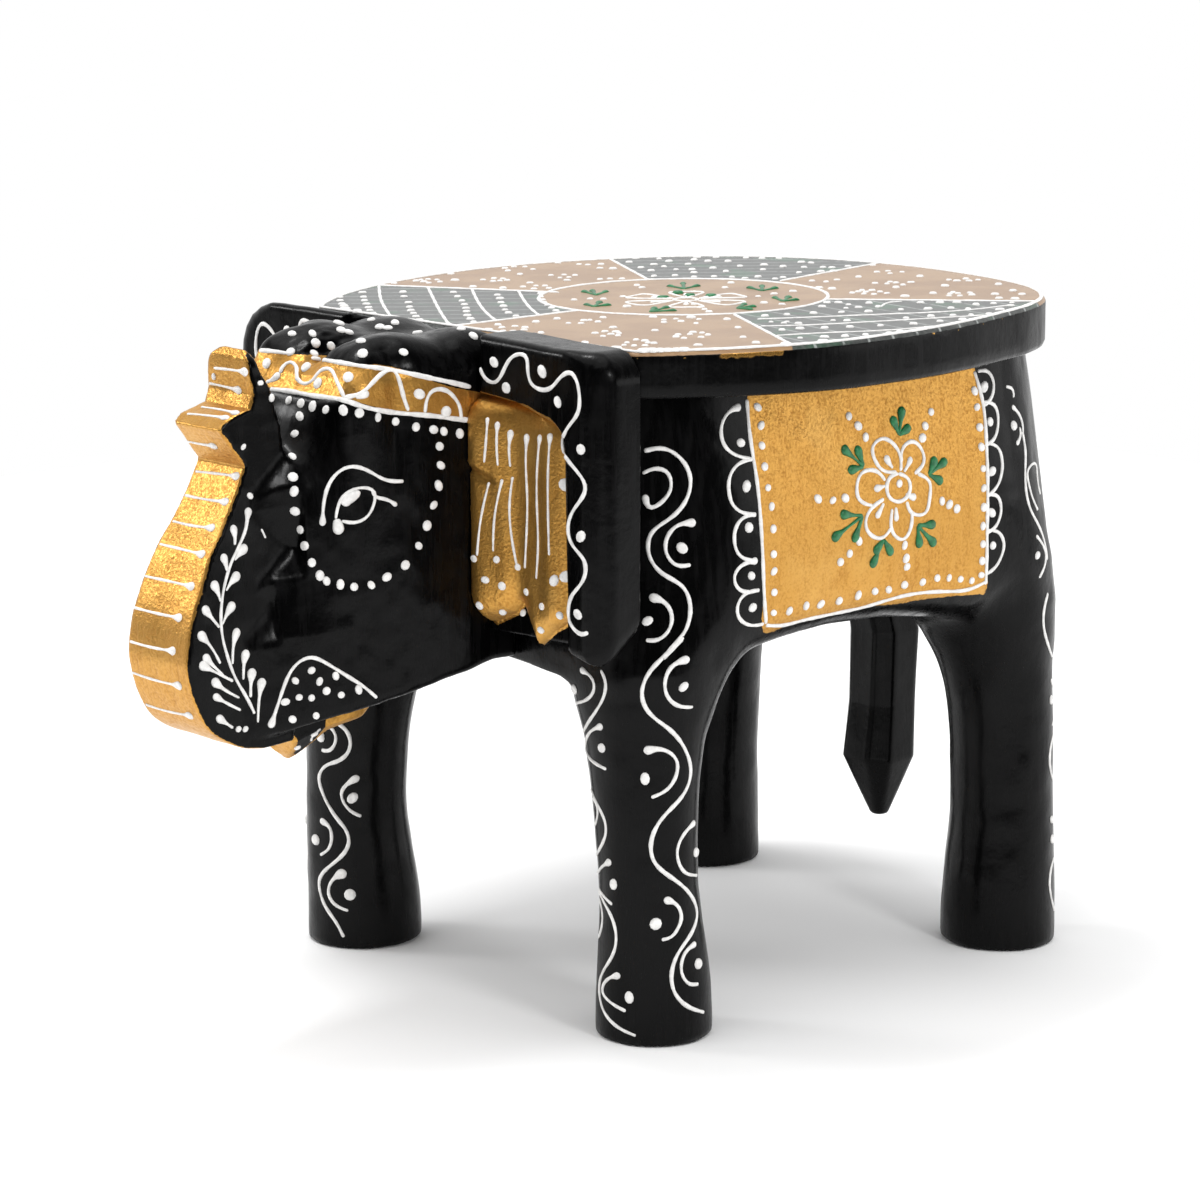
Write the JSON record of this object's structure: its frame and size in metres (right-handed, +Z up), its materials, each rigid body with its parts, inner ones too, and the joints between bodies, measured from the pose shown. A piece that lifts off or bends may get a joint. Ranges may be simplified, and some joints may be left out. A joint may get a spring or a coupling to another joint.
{
  "type": "carved elephant stool",
  "caption": "Low painted wooden stool shaped like an elephant: round seat board on a barrel body with waisted legs, a curled-up trunk, slab ears and a tail.",
  "frame": {"origin": "on the floor, under the middle of the whole object's length and width", "axes": "+Z up, the elephant looks towards -Y, its left side is +X"},
  "size_m": [0.1919, 0.2828, 0.19],
  "materials": {
    "black_lacquer": "glossy hand-brushed black lacquer",
    "seat_paint": "matt tan and dark grey-green painted fields under a thin varnish",
    "gold_paint": "metallic gold paint with a brushed grain",
    "white_relief": "raised off-white cone paint",
    "green_relief": "raised green cone paint",
    "dowel_wood": "bare pale hardwood"
  },
  "bodies": {
    "root": {"seat_board": "seat_paint", "body_block": "black_lacquer", "head_block": "black_lacquer", "trunk": "gold_paint", "ear_left": "black_lacquer", "ear_right": "black_lacquer", "tail": "black_lacquer", "leg_front_left": "black_lacquer", "leg_front_right": "black_lacquer", "leg_rear_left": "black_lacquer", "leg_rear_right": "black_lacquer", "seat_dowels": "dowel_wood", "neck_dowels": "dowel_wood", "trunk_dowels": "dowel_wood", "ear_dowels": "dowel_wood"}
  },
  "joints": []
}
